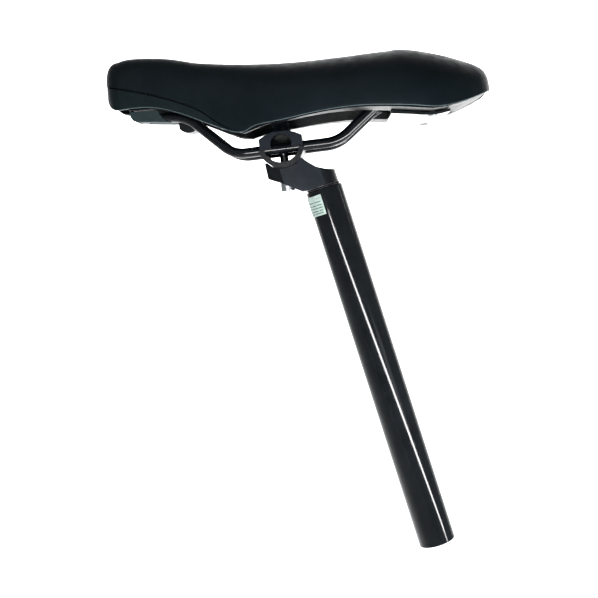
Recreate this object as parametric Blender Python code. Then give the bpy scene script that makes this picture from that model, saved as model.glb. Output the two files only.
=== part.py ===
"""Telescopic bicycle seatpost with a padded saddle in its rail clamp.

Units are metres. World axes are the bicycle's own: +X points to the tail of the saddle, +Z is up
and Y = 0 is the plane of symmetry. The origin is the centre of the seat tube's bottom end.

Three empties carry the pieces:
  post_axis    the axis of the seat tube, which leans forward. The head slides along it.
  tilt_axis    the centre of the round seat in the head, on which the rail clamp rocks.
  rail_datum   the centre of the clamped stretch of the two rails, along which the saddle slides.
"""
import math

import bmesh
import bpy
from mathutils import Vector

# --- post: heights are measured up the tube from its bottom end -------------------------------
RAKE = math.radians(18.0)
TUBE_RADIUS = 0.0136
TUBE_BORE = 0.0116
TUBE_TOP = 0.2740
RIM_ROUNDING = 0.0009
GAP = 0.0003

WIPER_RADIUS = 0.0124
WIPER_HEIGHT = 0.0010
HEAD_BOTTOM = TUBE_TOP + WIPER_HEIGHT + 2 * GAP
NECK_RADIUS = 0.0119
NECK_TOP = 0.2845
CHEEK = 0.0130

PLUNGER_RADIUS = 0.0100
PLUNGER_BORE = 0.0070
PLUNGER_BOTTOM = 0.1900
PLUNGER_TOP = 0.2850
UPPER_BUSH = (0.2420, TUBE_TOP - GAP)
LOWER_BUSH = (0.1920, 0.2110)
KEYWAY_FLOOR = 0.0085
KEY_WIDTH = 0.0030
KEY_HEIGHTS = (0.2540, 0.2660)

PLUG_HEIGHTS = (0.0020, 0.0140)
SPRING_HEIGHTS = (0.0160, 0.1830)
SPRING_CAP_HEIGHTS = (0.1848, 0.1896)
SPRING_RADIUS = 0.0082
SPRING_WIRE = 0.0014
SPRING_TURNS = 11

LABEL_HEIGHTS = (0.2557, 0.2703)
LABEL_ARC = (-25.0, 75.0)

# --- clamp: places are measured from the tilt axis ----------------------------------------------
TILT_AXIS = (-0.0189, 0.0, 0.3121)
SADDLE_PITCH = math.radians(7.0)
RAIL_DROP = 0.0030
RAIL_RADIUS = 0.0035
RAIL_GROOVE = 0.0038
RAIL_SPACING = 0.0220
CRADLE_RADIUS = 0.0165
SEAT_RADIUS = CRADLE_RADIUS + GAP
CRADLE_WALL = 0.0035
CLAMP_HALF_WIDTH = 0.0275
CLAMP_HALF_LENGTH = 0.0153
ARCH_RADIUS = 0.0074
ARCH_INNER_Y = 0.0100
BOLT_RADIUS = 0.0030
BOLT_HOLE = 0.0034
BOLT_HEAD_RADIUS = 0.0050
BOLT_HEAD_HEIGHTS = (-0.0330, -0.0255)
BOLT_TOP = 0.0150
NUT_HEIGHTS = (0.0088, 0.0186)
WASHER_SEAT = 0.0215
TILT_LIMIT = math.radians(8.0)

# --- saddle: places are measured from the rail datum --------------------------------------------
COVER_WALL = 0.0015
FOAM_INSET = 0.0024
SHELL_INSET = 0.0030
SHELL_LIP = 0.0012
SHELL_WALL = 0.0030
NOSE_X = -0.1210
TAIL_X = 0.1505
SHELL_NOSE_X = -0.1045
HALF_WIDTH = [(-0.1215, 0.009), (-0.117, 0.017), (-0.106, 0.0225), (-0.085, 0.0255), (-0.06, 0.029),
              (-0.03, 0.0365), (0.0, 0.0465), (0.035, 0.0585), (0.07, 0.0675), (0.095, 0.0700),
              (0.118, 0.0635), (0.14, 0.0460), (0.148, 0.0320), (0.1505, 0.0230)]
TOP_HEIGHT = [(-0.1215, 0.064), (-0.117, 0.0724), (-0.108, 0.0772), (-0.095, 0.0774), (-0.0735, 0.0744),
              (-0.0521, 0.0687), (-0.0086, 0.062), (0.0196, 0.0595), (0.047, 0.0586), (0.08, 0.0583),
              (0.0912, 0.0581), (0.1142, 0.052), (0.1351, 0.044), (0.143, 0.0399), (0.1485, 0.0347),
              (0.1505, 0.0283)]
EDGE_HEIGHT = [(-0.1215, 0.0541), (-0.119, 0.045), (-0.113, 0.0414), (-0.1075, 0.041), (-0.1018, 0.0410),
               (-0.0859, 0.0394), (-0.0681, 0.0333), (-0.055, 0.0266), (-0.0386, 0.0182), (-0.0300, 0.0145),
               (-0.0235, 0.0139), (-0.0182, 0.0160), (-0.0130, 0.0173), (0.0046, 0.0180), (0.0234, 0.0194),
               (0.0435, 0.0199), (0.0634, 0.0187), (0.0892, 0.0150), (0.109, 0.012), (0.1276, 0.0147),
               (0.1484, 0.0213), (0.1505, 0.0226)]
SEAM_HEIGHT = [(-0.13, 0.0622), (-0.1192, 0.0584), (-0.1064, 0.0544), (-0.0881, 0.0484), (-0.0672, 0.0398),
               (-0.0535, 0.0323), (-0.0436, 0.0239), (-0.0342, 0.017), (-0.0271, 0.0141)]
TROUGH_HEIGHT = [(-0.1045, 0.0413), (-0.086, 0.0413), (-0.068, 0.0361), (-0.05, 0.0293), (-0.035, 0.0268),
                 (0, 0.027), (0.04, 0.0283), (0.07, 0.0313), (0.102, 0.0313), (0.114, 0.024), (0.124, 0.0118)]
TROUGH_HALF_WIDTH = [(-0.1045, 0.0120), (-0.06, 0.0200), (-0.03, 0.0270), (0, 0.0340), (0.035, 0.0380),
                     (0.055, 0.0360), (0.07, 0.0335), (0.124, 0.0335)]
TROUGH_WALL_RUN = 0.0020
TROUGH_LEAST_DEPTH = 0.0002
TROUGH_WALL_SHIFT = 0.8  # how far the trough's side moves out for each unit of lift
RAIL_CORNERS = [(-0.0920, 0.0065, 0.0355), (-0.0640, 0.0150, 0.0298), (-0.0340, 0.0220, -0.0003),
                (0.0405, 0.0220, 0.0), (0.0725, 0.0258, 0.0240), (0.0950, 0.0272, 0.0240)]
SOCKET_X = (0.0800, 0.0985)
SOCKET_Y = 0.0267
SOCKET_Z = (0.0190, 0.0308)
SOCKET_HALF_WIDTH = 0.0058
PLATE_X = (0.0780, 0.1180)
PLATE_THICKNESS = 0.0020
PLATE_HALF_WIDTH = 0.0430
TAIL_SCREW_X = 0.1060
TAIL_SCREW_Y = 0.0392
TAIL_SCREW_REACH = 0.0020
HOUSING_HALF_WIDTH = 0.0130
SPACER_CENTRE = (-0.0645, 0.0290)
SPACER_RADIUS = 0.0092
SPACER_HALF_WIDTH = 0.0100
NOSE_SCREW_X = -0.0965
NOSE_SCREW_SEAT = 0.0330
SCREW_HEAD = 0.0034
SCREW_SHANK = 0.0019


# --- small geometry helpers -----------------------------------------------------------------------
def clear_scene():
    for item in list(bpy.data.objects):
        bpy.data.objects.remove(item, do_unlink=True)


def empty(name, location, pitch, parent=None):
    """An empty turned about Y. A positive pitch tips its Z axis towards +X."""
    item = bpy.data.objects.new(name, None)
    item.location = location
    item.rotation_euler = (0.0, pitch, 0.0)
    item.parent = parent
    bpy.context.scene.collection.objects.link(item)
    return item


def finish_mesh(name, bm, parent, material, sharp=35.0):
    bmesh.ops.recalc_face_normals(bm, faces=bm.faces)
    if bm.calc_volume(signed=True) < 0:
        bmesh.ops.reverse_faces(bm, faces=bm.faces)
    mesh = bpy.data.meshes.new(name)
    bm.to_mesh(mesh)
    bm.free()
    mesh.shade_smooth()
    mesh.set_sharp_from_angle(angle=math.radians(sharp))
    item = bpy.data.objects.new(name, mesh)
    item.parent = parent
    bpy.context.scene.collection.objects.link(item)
    if material is not None:
        mesh.materials.append(material)
    return item


def bridge(bm, first, second):
    """Join two closed rings of vertices with faces. Either ring may be a single point."""
    count = max(len(first), len(second))
    for index in range(count):
        following = (index + 1) % count
        corners = [first[index % len(first)], first[following % len(first)],
                   second[following % len(second)], second[index % len(second)]]
        corners = list(dict.fromkeys(corners))
        if len(corners) > 2:
            bm.faces.new(corners)


def turned(profile, segments=40, centre=(0.0, 0.0)):
    """Solid of revolution about a line parallel to Z. The (radius, height) profile is a closed loop."""
    bm = bmesh.new()
    rings = []
    for radius, height in profile:
        steps = segments if radius > 0 else 1
        angles = [2 * math.pi * step / steps for step in range(steps)]
        rings.append([bm.verts.new((centre[0] + radius * math.cos(angle),
                                    centre[1] + radius * math.sin(angle), height)) for angle in angles])
    for index, ring in enumerate(rings):
        bridge(bm, ring, rings[(index + 1) % len(rings)])
    return bm


def sleeve(outer, inner, low, high, segments=40):
    return turned([(inner, low), (outer, low), (outer, high), (inner, high)], segments)


def cylinder(radius, low, high, segments=32, centre=(0.0, 0.0)):
    return turned([(0, low), (radius, low), (radius, high), (0, high)], segments, centre)


def loft(rings):
    """Closed solid through equal rings of points, capped at both ends."""
    bm = bmesh.new()
    loops = [[bm.verts.new(point) for point in ring] for ring in rings]
    for first, second in zip(loops, loops[1:]):
        bridge(bm, first, second)
    bm.faces.new(loops[0])
    bm.faces.new(reversed(loops[-1]))
    return bm


def prism(outline, low, high):
    """An outline in XZ carried along Y from low to high."""
    return loft([[(x, low, z) for x, z in outline], [(x, high, z) for x, z in outline]])


def block(low, high):
    outline = [(low[0], low[2]), (high[0], low[2]), (high[0], high[2]), (low[0], high[2])]
    return prism(outline, low[1], high[1])


def arc(centre, radius, start, end, steps):
    """Points of an arc in XZ between two angles in degrees, measured from +X towards +Z."""
    points = []
    for step in range(steps + 1):
        angle = math.radians(start + (end - start) * step / steps)
        points.append((centre[0] + radius * math.cos(angle), centre[1] + radius * math.sin(angle)))
    return points


def curve_value(points, x):
    """Smooth height of a curve through (x, value) points, with the slope of its neighbours at each."""
    if x <= points[0][0]:
        return points[0][1]
    if x >= points[-1][0]:
        return points[-1][1]
    index = max(i for i, point in enumerate(points) if point[0] <= x)
    index = min(index, len(points) - 2)

    def slope(i):
        before = points[max(i - 1, 0)]
        after = points[min(i + 1, len(points) - 1)]
        return (after[1] - before[1]) / (after[0] - before[0])

    x0, y0 = points[index]
    x1, y1 = points[index + 1]
    width = x1 - x0
    t = (x - x0) / width
    return ((2 * t**3 - 3 * t**2 + 1) * y0 + (t**3 - 2 * t**2 + t) * width * slope(index)
            + (3 * t**2 - 2 * t**3) * y1 + (t**3 - t**2) * width * slope(index + 1))


def rounded_path(corners, reach=0.009, steps=5):
    """Points of a bent rod: straight runs joined by a smooth bend at each inner corner."""
    points = [Vector(corners[0])]
    for before, corner, after in zip(corners, corners[1:], corners[2:]):
        corner = Vector(corner)
        entry = corner + (Vector(before) - corner).normalized() * reach
        leave = corner + (Vector(after) - corner).normalized() * reach
        for step in range(steps + 1):
            t = step / steps
            points.append((1 - t)**2 * entry + 2 * t * (1 - t) * corner + t**2 * leave)
    points.append(Vector(corners[-1]))
    return points


def swept(path, radius, sides=12):
    """Round rod along a path, its rings kept from twisting, with flat ends."""
    rings = []
    side = Vector((0.0, 1.0, 0.0))
    for index, point in enumerate(path):
        before = path[max(index - 1, 0)]
        after = path[min(index + 1, len(path) - 1)]
        tangent = (after - before).normalized()
        side = (side - tangent * side.dot(tangent)).normalized()
        upright = tangent.cross(side)
        angles = [2 * math.pi * step / sides for step in range(sides)]
        rings.append([point + radius * (math.cos(a) * side + math.sin(a) * upright) for a in angles])
    return loft(rings)


def cutter(name, bm, parent):
    item = finish_mesh(name, bm, parent, None)
    item.hide_render = True
    item.display_type = 'WIRE'
    return item


def combine(item, tool, operation='DIFFERENCE'):
    modifier = item.modifiers.new(tool.name, 'BOOLEAN')
    modifier.operation = operation
    modifier.solver = 'EXACT'
    modifier.object = tool


# --- materials --------------------------------------------------------------------------------------
def material(name, colour, roughness, metallic=0.0):
    item = bpy.data.materials.new(name)
    item.use_nodes = True
    shader = item.node_tree.nodes['Principled BSDF']
    shader.inputs['Base Color'].default_value = (*colour, 1.0)
    shader.inputs['Roughness'].default_value = roughness
    shader.inputs['Metallic'].default_value = metallic
    return item


def gloss_black():
    return material('gloss_black_paint', (0.012, 0.014, 0.016), 0.18)


def dark_forging():
    return material('dark_forging', (0.030, 0.038, 0.048), 0.38, 0.6)


def bright_steel():
    return material('bright_steel', (0.60, 0.61, 0.62), 0.28, 1.0)


def bush_plastic():
    return material('bush_plastic', (0.55, 0.55, 0.52), 0.5)


def black_rubber():
    return material('black_rubber', (0.015, 0.015, 0.016), 0.75)


def shell_plastic():
    return material('shell_plastic', (0.018, 0.019, 0.021), 0.42)


def grey_plastic():
    return material('grey_plastic', (0.055, 0.068, 0.078), 0.55)


def cover_leather():
    return material('cover_leather', (0.016, 0.020, 0.025), 0.45)


def foam():
    return material('foam', (0.42, 0.40, 0.33), 0.95)


def label_paper():
    return material('label_paper', (0.66, 0.72, 0.66), 0.6)


# --- post ---------------------------------------------------------------------------------------------
def seat_tube(axis):
    profile = [(TUBE_BORE, 0.0), (TUBE_RADIUS - 0.0004, 0.0), (TUBE_RADIUS, 0.0004)]
    profile += arc((TUBE_RADIUS - RIM_ROUNDING, TUBE_TOP - RIM_ROUNDING), RIM_ROUNDING, 0, 90, 3)
    profile.append((TUBE_BORE, TUBE_TOP))
    finish_mesh('seat_tube', turned(profile, 56), axis, gloss_black())


def label(axis):
    """Paper label: a thin patch rolled round the tube, on the front and its +/- Y neighbourhood."""
    inner = TUBE_RADIUS + GAP
    outer = inner + 0.0002
    columns = 10
    rings = []
    for column in range(columns + 1):
        angle = math.radians(180 + LABEL_ARC[0] + (LABEL_ARC[1] - LABEL_ARC[0]) * column / columns)
        corners = [(inner, LABEL_HEIGHTS[0]), (outer, LABEL_HEIGHTS[0]),
                   (outer, LABEL_HEIGHTS[1]), (inner, LABEL_HEIGHTS[1])]
        rings.append([(radius * math.cos(angle), radius * math.sin(angle), z) for radius, z in corners])
    finish_mesh('label', loft(rings), axis, label_paper())


def dust_wiper(axis):
    low = TUBE_TOP + GAP
    finish_mesh('dust_wiper', sleeve(WIPER_RADIUS, PLUNGER_RADIUS + GAP, low, low + WIPER_HEIGHT),
                axis, black_rubber())


def upper_bush(axis):
    bush = finish_mesh('upper_bush', sleeve(TUBE_BORE - GAP, PLUNGER_RADIUS + GAP, *UPPER_BUSH),
                       axis, bush_plastic())
    half = KEY_WIDTH / 2 + GAP
    slot = block((-TUBE_RADIUS, -half, KEY_HEIGHTS[0] - GAP), (TUBE_RADIUS, half, KEY_HEIGHTS[1] + GAP))
    combine(bush, cutter('cutter_key_windows', slot, axis))


def guide_keys(axis):
    """Two steel keys, held in windows of the upper bush, that run in the plunger's keyways."""
    for name, side in (('guide_key_front', -1), ('guide_key_rear', 1)):
        near, far = sorted((side * (KEYWAY_FLOOR + GAP), side * (TUBE_BORE - GAP)))
        bm = block((near, -KEY_WIDTH / 2, KEY_HEIGHTS[0]), (far, KEY_WIDTH / 2, KEY_HEIGHTS[1]))
        finish_mesh(name, bm, axis, bright_steel())


def preload_plug(axis):
    low, high = PLUG_HEIGHTS
    plug = finish_mesh('preload_plug', cylinder(TUBE_BORE - GAP, low, high, 40), axis, bush_plastic())
    socket = turned([(0, low - 0.001), (0.0046, low - 0.001), (0.0046, low + 0.007), (0, low + 0.007)], 6)
    combine(plug, cutter('cutter_plug_socket', socket, axis))


def coil_spring(axis):
    low, high = SPRING_HEIGHTS
    steps = SPRING_TURNS * 14
    path = []
    for step in range(steps + 1):
        angle = 2 * math.pi * SPRING_TURNS * step / steps
        height = low + (high - low) * step / steps
        path.append(Vector((SPRING_RADIUS * math.cos(angle), SPRING_RADIUS * math.sin(angle), height)))
    finish_mesh('coil_spring', swept(path, SPRING_WIRE, 6), axis, bright_steel())


# --- head -----------------------------------------------------------------------------------------------
def head_outline():
    """Side view of the forged head, in the plane of the tube axis."""
    centre = (TILT_AXIS[0], TILT_AXIS[2])
    outline = [(NECK_RADIUS, HEAD_BOTTOM), (NECK_RADIUS, NECK_TOP)]
    outline += [(0.0060, 0.2862), (-0.0005, 0.2899), (-0.0052, 0.2951)]
    outline += arc(centre, SEAT_RADIUS, -51, -149, 14)
    outline += [(-0.0350, 0.3031), (-0.0360, 0.2921), (-0.0280, 0.2867), (-0.0155, 0.2762)]
    outline.append((-NECK_RADIUS, HEAD_BOTTOM))
    return outline


def head(axis, tilt):
    body = finish_mesh('head', prism(head_outline(), -CHEEK, CHEEK), axis, dark_forging())

    trim = CHEEK + 0.010
    lower = turned([(NECK_RADIUS, HEAD_BOTTOM - 0.002), (0.050, HEAD_BOTTOM - 0.002),
                    (0.050, NECK_TOP - 0.0015),
                    (NECK_RADIUS + 0.0012, NECK_TOP - 0.0015), (NECK_RADIUS, NECK_TOP - 0.0040)], 48)
    keep = block((-0.0100, -trim, HEAD_BOTTOM - 0.004), (0.050, trim, NECK_TOP + 0.004))
    ring = cutter('cutter_neck', lower, axis)
    combine(ring, cutter('limit_neck', keep, axis), 'INTERSECT')
    combine(body, ring)

    for name, side in (('left', 1), ('right', -1)):
        outline = [(-0.0258, CHEEK), (-0.0360, 0.0075), (-0.0420, 0.0075), (-0.0420, 0.0200),
                   (-0.0258, 0.0200)]
        rings = [[(x, side * y, z) for x, y in outline] for z in (0.2670, 0.3120)]
        combine(body, cutter('cutter_front_corner_' + name, loft(rings), axis))

    bore = cylinder(PLUNGER_RADIUS + GAP, HEAD_BOTTOM - 0.002, PLUNGER_TOP + GAP, 40)
    combine(body, cutter('cutter_plunger_bore', bore, axis))

    pocket = arc((0.0, 0.0), WASHER_SEAT, -118, -58, 10)
    pocket += [(0.0110, -0.0400), (-0.0105, -0.0400)]
    combine(body, cutter('cutter_washer_pocket', prism(pocket, -0.0060, 0.0060), tilt))
    reach = BOLT_HOLE + WASHER_SEAT * math.tan(TILT_LIMIT)
    slot = block((-reach, -BOLT_HOLE, -0.0300), (reach, BOLT_HOLE, -0.0100))
    combine(body, cutter('cutter_bolt_slot', slot, tilt))


def plunger(axis):
    tube = finish_mesh('plunger', sleeve(PLUNGER_RADIUS, PLUNGER_BORE, PLUNGER_BOTTOM, PLUNGER_TOP),
                       axis, bright_steel())
    for name, side in (('front', -1), ('rear', 1)):
        near, far = sorted((side * KEYWAY_FLOOR, side * (PLUNGER_RADIUS + 0.002)))
        half = KEY_WIDTH / 2 + GAP
        slot = block((near, -half, LOWER_BUSH[1] + 0.004), (far, half, HEAD_BOTTOM - 0.002))
        combine(tube, cutter('cutter_keyway_' + name, slot, axis))


def lower_bush(axis):
    ring = sleeve(TUBE_BORE - GAP, PLUNGER_RADIUS + GAP, *LOWER_BUSH)
    finish_mesh('lower_bush', ring, axis, bush_plastic())


def spring_cap(axis):
    low, high = SPRING_CAP_HEIGHTS
    profile = [(0, low - 0.008), (0.0055, low - 0.008), (0.0062, low), (0.0106, low), (0.0106, high),
               (0, high)]
    finish_mesh('spring_cap', turned(profile), axis, bush_plastic())


# --- clamp ----------------------------------------------------------------------------------------------
def groove_cutters(prefix, parent, height):
    """Two rods that cut the rail grooves across the clamp."""
    tools = []
    for name, side in (('left', 1), ('right', -1)):
        path = [Vector((x, side * RAIL_SPACING, height)) for x in (-0.030, 0.030)]
        tools.append(cutter(f'{prefix}_{name}', swept(path, RAIL_GROOVE, 20), parent))
    return tools


def lower_cradle(tilt, grooves):
    top = -RAIL_DROP - GAP
    outer_end = math.degrees(math.asin(top / CRADLE_RADIUS))
    inner = CRADLE_RADIUS - CRADLE_WALL
    inner_end = math.degrees(math.asin(top / inner))
    outline = arc((0, 0), CRADLE_RADIUS, outer_end, -180 - outer_end, 18)
    outline += arc((0, 0), inner, -180 - inner_end, inner_end, 18)
    solid = prism(outline, -CLAMP_HALF_WIDTH, CLAMP_HALF_WIDTH)
    cradle = finish_mesh('lower_cradle', solid, tilt, dark_forging())
    combine(cradle, cutter('cutter_cradle_hole', cylinder(BOLT_HOLE, -0.020, -0.008, 20), tilt))
    for tool in grooves:
        combine(cradle, tool)


def upper_clamp(tilt, grooves):
    low = -RAIL_DROP + GAP
    outline = [(-CLAMP_HALF_LENGTH, low), (CLAMP_HALF_LENGTH, low), (CLAMP_HALF_LENGTH, 0.0045),
               (0.0100, 0.0072), (0.0050, 0.0085), (-0.0050, 0.0085), (-0.0100, 0.0072),
               (-CLAMP_HALF_LENGTH, 0.0045)]
    solid = prism(outline, -CLAMP_HALF_WIDTH, CLAMP_HALF_WIDTH)
    clamp = finish_mesh('upper_clamp', solid, tilt, dark_forging())
    combine(clamp, cutter('cutter_clamp_hole', cylinder(BOLT_HOLE, -0.010, 0.020, 20), tilt))
    for tool in grooves:
        combine(clamp, tool)
    for name, side in (('left', 1), ('right', -1)):
        near, far = sorted((side * ARCH_INNER_Y, side * 0.030))
        arch = prism(arc((0, -0.0004), ARCH_RADIUS, 0, 342, 19), near, far)
        combine(clamp, cutter('cutter_arch_' + name, arch, tilt))


def rocker_washer(tilt):
    """Half-round washer under the head: its top is an arc about the tilt axis."""
    radius = WASHER_SEAT + GAP
    half_angle = math.degrees(math.asin(0.0064 / radius))
    outline = arc((0, 0), radius, -90 - half_angle, -90 + half_angle, 8)
    outline += [(0.0064, BOLT_HEAD_HEIGHTS[1] + GAP), (-0.0064, BOLT_HEAD_HEIGHTS[1] + GAP)]
    washer = finish_mesh('rocker_washer', prism(outline, -0.0056, 0.0056), tilt, bright_steel())
    combine(washer, cutter('cutter_washer_hole', cylinder(BOLT_RADIUS + GAP, -0.030, -0.018, 20), tilt))


def clamp_bolt(tilt):
    low, high = BOLT_HEAD_HEIGHTS
    profile = [(0, low), (BOLT_HEAD_RADIUS - 0.0005, low), (BOLT_HEAD_RADIUS, low + 0.0005),
               (BOLT_HEAD_RADIUS, high), (BOLT_RADIUS, high), (BOLT_RADIUS, BOLT_TOP), (0, BOLT_TOP)]
    bolt = finish_mesh('clamp_bolt', turned(profile, 24), tilt, bright_steel())
    socket = turned([(0, low - 0.001), (0.0029, low - 0.001), (0.0029, low + 0.003), (0, low + 0.003)], 6)
    combine(bolt, cutter('cutter_bolt_socket', socket, tilt))


def clamp_nut(tilt):
    """Domed flange nut, blind from above."""
    low, high = NUT_HEIGHTS
    profile = [(BOLT_RADIUS + GAP, low), (0.0074, low), (0.0074, low + 0.0014), (0.0064, low + 0.0024),
               (0.0064, high - 0.0034), (0.0052, high - 0.0012), (0.0030, high - 0.0003), (0, high),
               (0, BOLT_TOP + GAP), (BOLT_RADIUS + GAP, BOLT_TOP + GAP)]
    finish_mesh('clamp_nut', turned(profile, 32), tilt, dark_forging())


# --- saddle ---------------------------------------------------------------------------------------------
def saddle_stations(inset, count=26):
    """Places along the saddle, closer together towards the nose and the tail."""
    low = NOSE_X + inset
    high = TAIL_X - inset
    return [low + (high - low) * (1 - math.cos(math.pi * step / count)) / 2 for step in range(count + 1)]


def outline_x(x, inset):
    """The station of the outer form that a station of an inset form belongs to."""
    share = (x - NOSE_X - inset) / (TAIL_X - NOSE_X - 2 * inset)
    return NOSE_X + share * (TAIL_X - NOSE_X)


def half_width(x, inset):
    return curve_value(HALF_WIDTH, outline_x(x, inset)) - inset


def crown(x, y_share):
    """Drop of the top surface from its crest at a share of the half width: full, with a shallow channel."""
    side = abs(y_share)
    shoulder = (1 - side**2.7) ** (1 / 2.4)
    channel = 0.045 * math.exp(-(side / 0.16)**2) * min(1.0, max(0.0, (x + 0.11) / 0.05))
    return shoulder * (1 - channel)


def top_points(x, inset, bottom, steps=18):
    """Top line of a section at x, from the left edge (+Y) to the right edge (-Y)."""
    width = half_width(x, inset)
    source = outline_x(x, inset)
    edge = curve_value(EDGE_HEIGHT, source)
    top = curve_value(TOP_HEIGHT, source) - inset
    points = []
    for step in range(steps + 1):
        share = math.cos(math.pi * step / steps)
        height = edge + (top - edge) * crown(source, share)
        points.append((x, width * share, bottom if step in (0, steps) else height))
    return points


def padded_form(inset, floor, skirt=0.0):
    """Solid with the saddle's top surface moved in by inset, above a floor height given by a function.

    A skirt carries its walls straight down below the floor's edge.
    """
    shares = (-1.0, -0.8, -0.5, 0.0, 0.5, 0.8, 1.0) if skirt else (-0.8, -0.5, 0.0, 0.5, 0.8)
    rings = []
    for x in saddle_stations(inset):
        width = half_width(x, inset)
        ring = top_points(x, inset, floor(x, 1.0))
        ring += [(x, width * share, floor(x, abs(share)) - skirt) for share in shares]
        rings.append(ring)
    return loft(rings)


def shell_half_width(x):
    return half_width(x, SHELL_INSET)


def shell_stations(count=24):
    """Places along the base, closer together towards the tail."""
    length = TAIL_X - SHELL_INSET - SHELL_NOSE_X
    return [SHELL_NOSE_X + length * math.sin(0.5 * math.pi * step / count) for step in range(count + 1)]


def flange_height(x):
    """Underside of the flat flange that runs round the edge of the base."""
    return curve_value(EDGE_HEIGHT, outline_x(x, SHELL_INSET)) - SHELL_LIP


def trough_height(x):
    """Underside of the trough in the middle of the base, which makes room for the rails."""
    return max(curve_value(TROUGH_HEIGHT, x), flange_height(x) + TROUGH_LEAST_DEPTH)


def shell_line(x, lift=0.0):
    """Line across the saddle at x, from left to right, outside the underside of the base by lift."""
    width = shell_half_width(x)
    wall = min(curve_value(TROUGH_HALF_WIDTH, x), width - 2 * TROUGH_WALL_RUN - SHELL_WALL)
    wall += lift * TROUGH_WALL_SHIFT
    flange = flange_height(x) + lift
    trough = trough_height(x) + lift
    foot = wall + TROUGH_WALL_RUN
    left = [(width, flange), ((width + foot) / 2, flange), (foot, flange), (wall, trough), (wall / 2, trough)]
    line = left + [(0.0, trough)] + [(-y, height) for y, height in reversed(left)]
    return [(x, y, height) for y, height in line]


def saddle_shell(datum):
    rings = [shell_line(x) + shell_line(x, SHELL_WALL)[::-1] for x in shell_stations()]
    shell = finish_mesh('saddle_shell', loft(rings), datum, shell_plastic())
    for name, side in (('left', 1), ('right', -1)):
        low = flange_height(TAIL_SCREW_X)
        hole = cylinder(SCREW_SHANK + GAP, low - 0.002, low + TAIL_SCREW_REACH + GAP, 18,
                        (TAIL_SCREW_X, side * TAIL_SCREW_Y))
        combine(shell, cutter('cutter_shell_hole_' + name, hole, datum))


def base_space(datum):
    """The space taken by the base and all below it, wider than the base on every side."""
    margin = 0.008
    rings = []
    for x in shell_stations():
        line = shell_line(x, SHELL_WALL + 6 * GAP)
        left = (x, line[0][1] + margin, line[0][2])
        right = (x, line[-1][1] - margin, line[-1][2])
        rings.append([left] + line + [right, (x, right[1], -0.010), (x, left[1], -0.010)])
    ends = [[(x + side * margin, y, z) for x, y, z in ring]
            for side, ring in ((-1, rings[0]), (1, rings[-1]))]
    return cutter('cutter_base_space', loft([ends[0]] + rings + [ends[1]]), datum)


def foam_pad(datum):
    pad = finish_mesh('foam_pad', cover_form(FOAM_INSET), datum, foam())
    combine(pad, base_space(datum))


def cover_form(inset, skirt=0.0):
    def floor(x, share):
        return curve_value(EDGE_HEIGHT, outline_x(x, inset))

    return padded_form(inset, floor, skirt)


def below_seam(lift):
    """Everything lower than the seam line, ahead of the lowest point of the skirt."""
    outline = [(x, height + lift) for x, height in SEAM_HEIGHT]
    outline += [(-0.0150, -0.0100), (-0.1500, -0.0100), (-0.1500, SEAM_HEIGHT[0][1] + lift)]
    return prism(outline, -0.060, 0.060)


def covers(datum):
    hollow = cutter('cutter_cover_hollow', cover_form(COVER_WALL, skirt=0.020), datum)
    top = finish_mesh('cover_top', cover_form(0.0), datum, cover_leather())
    combine(top, hollow)
    combine(top, cutter('cutter_below_seam', below_seam(0.0), datum))

    band = finish_mesh('cover_side_band', cover_form(0.0), datum, cover_leather())
    combine(band, hollow)
    combine(band, cutter('limit_below_seam', below_seam(-GAP), datum), 'INTERSECT')


def rail_path(side):
    return rounded_path([(x, side * y, z) for x, y, z in RAIL_CORNERS])


def rails(datum):
    for name, side in (('rail_left', 1), ('rail_right', -1)):
        finish_mesh(name, swept(rail_path(side), RAIL_RADIUS, 14), datum, gloss_black())


def rail_clearance(datum):
    """The space of each rail with its clearance, longer than the rail at both ends by the gap."""
    tools = []
    for name, side in (('left', 1), ('right', -1)):
        path = rail_path(side)
        path[0] = path[0] + (path[0] - path[1]).normalized() * GAP
        path[-1] = path[-1] + (path[-1] - path[-2]).normalized() * GAP
        tools.append(cutter('cutter_rail_' + name, swept(path, RAIL_GROOVE, 14), datum))
    return tools


def rear_rail_sockets(datum, clearance):
    for (name, side), tool in zip((('rear_rail_socket_left', 1), ('rear_rail_socket_right', -1)), clearance):
        middle = side * SOCKET_Y
        low = (SOCKET_X[0], middle - SOCKET_HALF_WIDTH, SOCKET_Z[0])
        high = (SOCKET_X[1], middle + SOCKET_HALF_WIDTH, SOCKET_Z[1])
        socket = finish_mesh(name, block(low, high), datum, shell_plastic())
        combine(socket, tool)


def nose_housing(datum, clearance):
    """Plastic housing under the nose that holds the front ends of both rails."""
    roof = [(x, flange_height(x) - 2 * GAP) for x in (-0.0720, -0.0800, -0.0900, -0.1000, -0.1053)]
    outline = [(-0.1050, 0.0355), (-0.1035, 0.0330), (-0.1010, 0.0320), (-0.0720, 0.0281)]
    outline += roof
    outline = outline[::-1]
    housing = finish_mesh('nose_housing', prism(outline, -HOUSING_HALF_WIDTH, HOUSING_HALF_WIDTH),
                          datum, grey_plastic())
    for name, side in (('left', 1), ('right', -1)):
        panel = [(-0.0860, 0.0430), (-0.0845, 0.0357), (-0.0815, 0.0314), (-0.0700, 0.0298),
                 (-0.0700, 0.0430)]
        near, far = sorted((side * (HOUSING_HALF_WIDTH - 0.0012), side * 0.020))
        combine(housing, cutter('cutter_housing_panel_' + name, prism(panel, near, far), datum))
    for tool in clearance:
        combine(housing, tool)
    space = screw_space((NOSE_SCREW_X, 0.0), NOSE_SCREW_SEAT, 0.0200)
    combine(housing, cutter('cutter_housing_screw', space, datum))


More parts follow.
